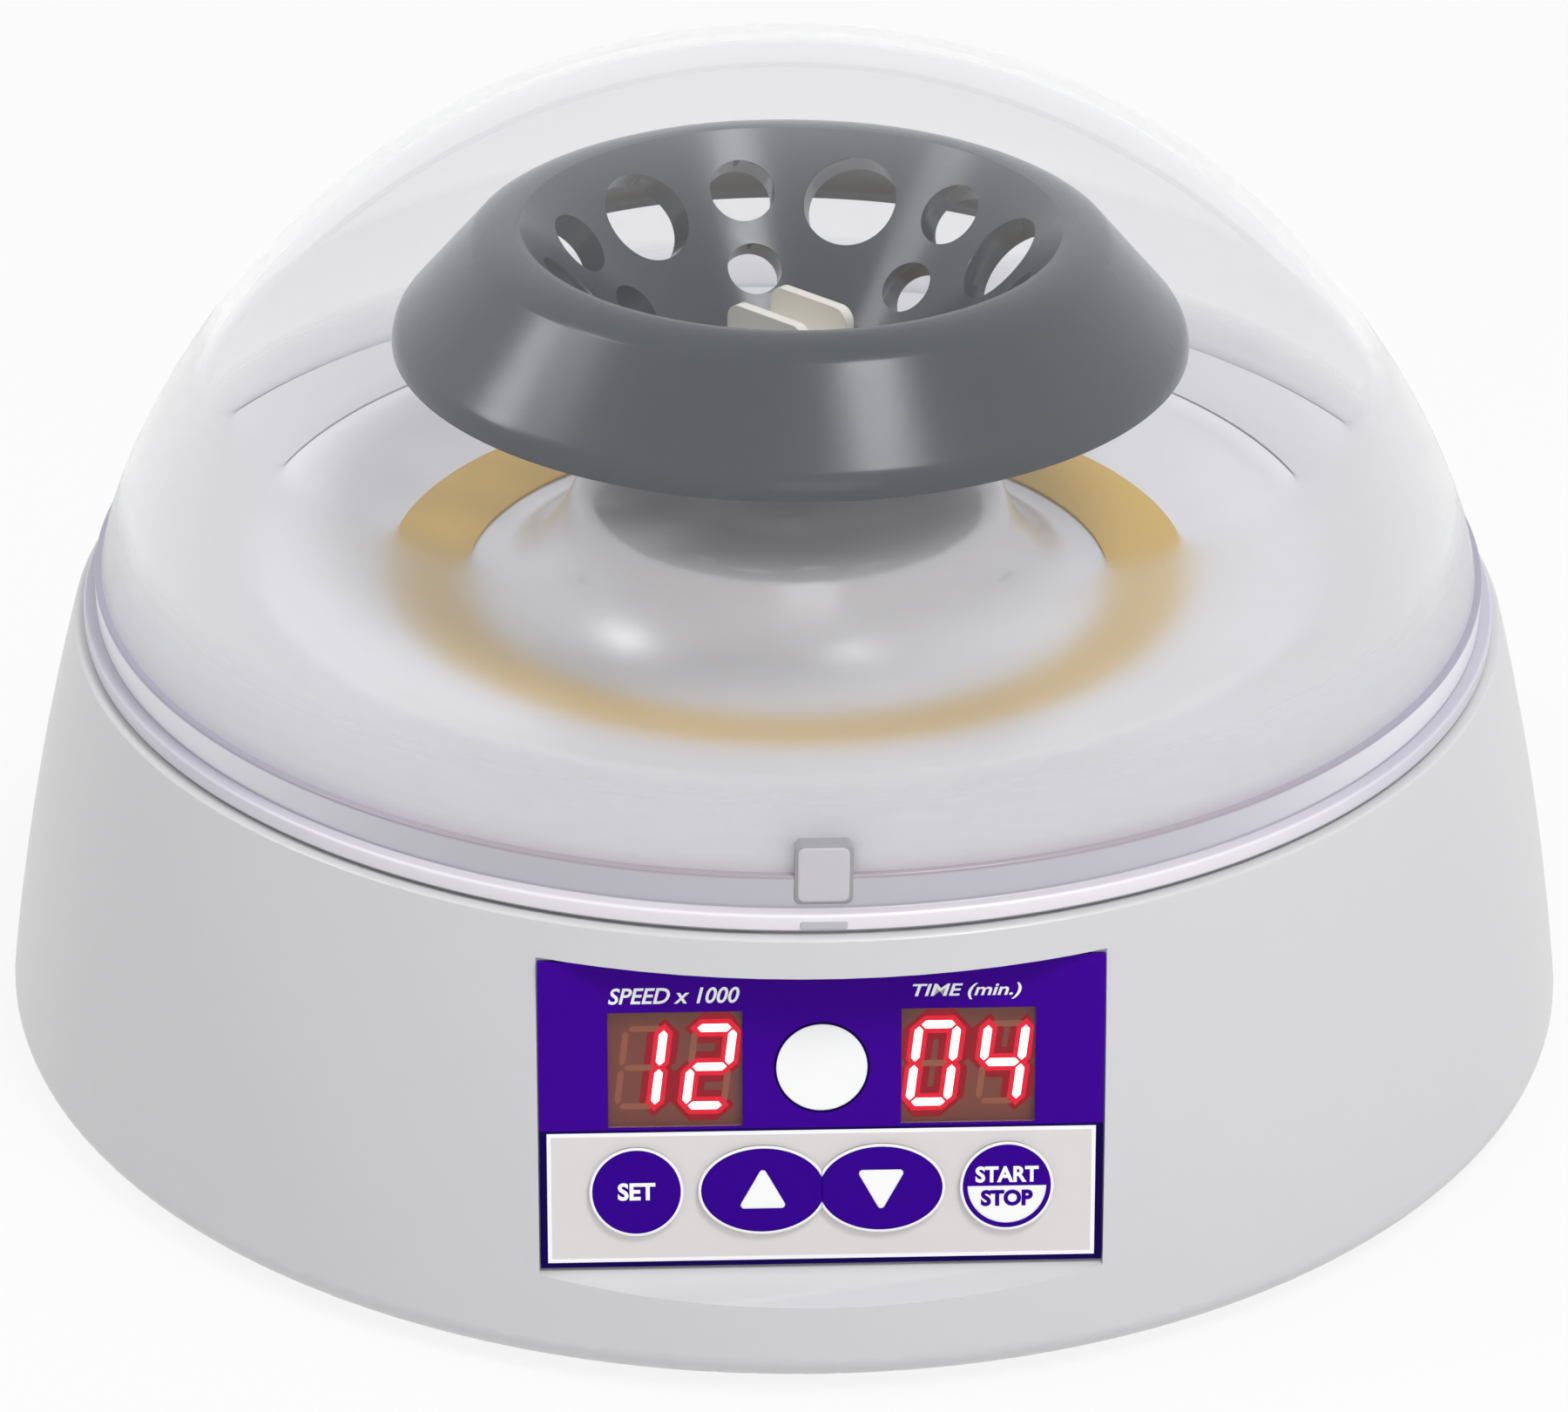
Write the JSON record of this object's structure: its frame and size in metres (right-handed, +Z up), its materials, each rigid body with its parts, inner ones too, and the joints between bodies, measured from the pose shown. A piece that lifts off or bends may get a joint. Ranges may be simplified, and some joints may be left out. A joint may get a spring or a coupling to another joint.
{
  "type": "mini centrifuge",
  "caption": "Round bench-top mini centrifuge with a hinged clear domed lid, a fixed-angle rotor for micro tubes and a sloping key and display panel.",
  "frame": {"origin": "on the table under the rotor's axis, the centre of the object's base", "axes": "+Z up along the rotor's axis, -Y out of the front where the control panel is, +X to the right as seen by the user; the lid's hinge is at +Y"},
  "size_m": [0.19, 0.19, 0.1168],
  "materials": {
    "shell_white": "gloss",
    "cover_grey": "fine grain",
    "clear_plastic": "clear, slightly hazy",
    "bowl_grey": "gloss",
    "ring_yellow": "satin",
    "rotor_grey": "satin",
    "knob_ivory": "satin",
    "panel_purple": "satin film",
    "disc_white": "satin",
    "window_tint": "clear",
    "display_black": "satin",
    "key_plum": "satin",
    "board_green": "satin",
    "part_black": "satin",
    "foot_rubber": "matt",
    "steel": "satin",
    "motor_steel": "zinc plated",
    "plate_aluminium": "satin",
    "hub_aluminium": "turned"
  },
  "bodies": {
    "base": {"upper_housing": "shell_white", "bottom_cover": "cover_grey", "foot_front_left": "foot_rubber", "foot_front_right": "foot_rubber", "foot_rear_left": "foot_rubber", "foot_rear_right": "foot_rubber", "housing_screws": "steel", "chamber_bowl": "bowl_grey", "bowl_screws": "steel", "chamber_ring": "ring_yellow", "control_panel": "panel_purple", "panel_disc": "disc_white", "speed_window": "window_tint", "time_window": "window_tint", "speed_display": "display_black", "time_display": "display_black", "control_board": "board_green", "key_switches": "part_black", "board_screws": "steel", "motor": "motor_steel", "motor_plate": "plate_aluminium", "motor_dampers": "foot_rubber", "damper_screws": "steel", "motor_screws": "steel", "latch_magnet": "part_black", "lid_sensor": "part_black", "hinge_bracket": "steel", "hinge_pin": "steel", "hinge_screws": "steel", "power_inlet": "part_black", "inlet_nut": "part_black", "switch_frame": "part_black", "power_board": "board_green", "power_board_screws": "steel"},
    "lid": {"lid": "clear_plastic", "latch_tongue": "clear_plastic", "latch_striker": "steel"},
    "rotor": {"rotor": "rotor_grey", "drive_hub": "hub_aluminium", "motor_shaft": "steel"},
    "knob": {"rotor_knob": "knob_ivory"},
    "key_set": {"set_key": "key_plum"},
    "key_up": {"up_key": "key_plum"},
    "key_down": {"down_key": "key_plum"},
    "key_start_stop": {"start_stop_key": "key_plum"},
    "rocker": {"power_rocker": "part_black"}
  },
  "joints": [
    {"name": "lid_hinge", "type": "hinge", "parent": "base", "child": "lid", "pos_m": [0, 0.0835, 0.047], "axis": [-1, 0, 0], "range_deg": [0, 85]},
    {"name": "rotor_spin", "type": "hinge", "parent": "base", "child": "rotor", "pos_m": [0, 0, 0.0736], "axis": [0, 0, 1], "continuous": true},
    {"name": "knob_turn", "type": "hinge", "parent": "rotor", "child": "knob", "pos_m": [0, 0, 0.0812], "axis": [0, 0, 1], "range_deg": [0, 90]},
    {"name": "key_set_press", "type": "slide", "parent": "base", "child": "key_set", "axis": [0, 0.9811, -0.1934], "range_m": [0, 0.0004], "stiffness_N_per_m": 600, "springref_m": -0.0005},
    {"name": "key_up_press", "type": "slide", "parent": "base", "child": "key_up", "axis": [0, 0.9811, -0.1934], "range_m": [0, 0.0004], "stiffness_N_per_m": 600, "springref_m": -0.0005},
    {"name": "key_down_press", "type": "slide", "parent": "base", "child": "key_down", "axis": [0, 0.9811, -0.1934], "range_m": [0, 0.0004], "stiffness_N_per_m": 600, "springref_m": -0.0005},
    {"name": "key_start_stop_press", "type": "slide", "parent": "base", "child": "key_start_stop", "axis": [0, 0.9811, -0.1934], "range_m": [0, 0.0004], "stiffness_N_per_m": 600, "springref_m": -0.0005},
    {"name": "rocker_tip", "type": "hinge", "parent": "base", "child": "rocker", "pos_m": [0.013, 0.0828, 0.0175], "axis": [0, 0, 1], "range_deg": [0, 18]}
  ]
}
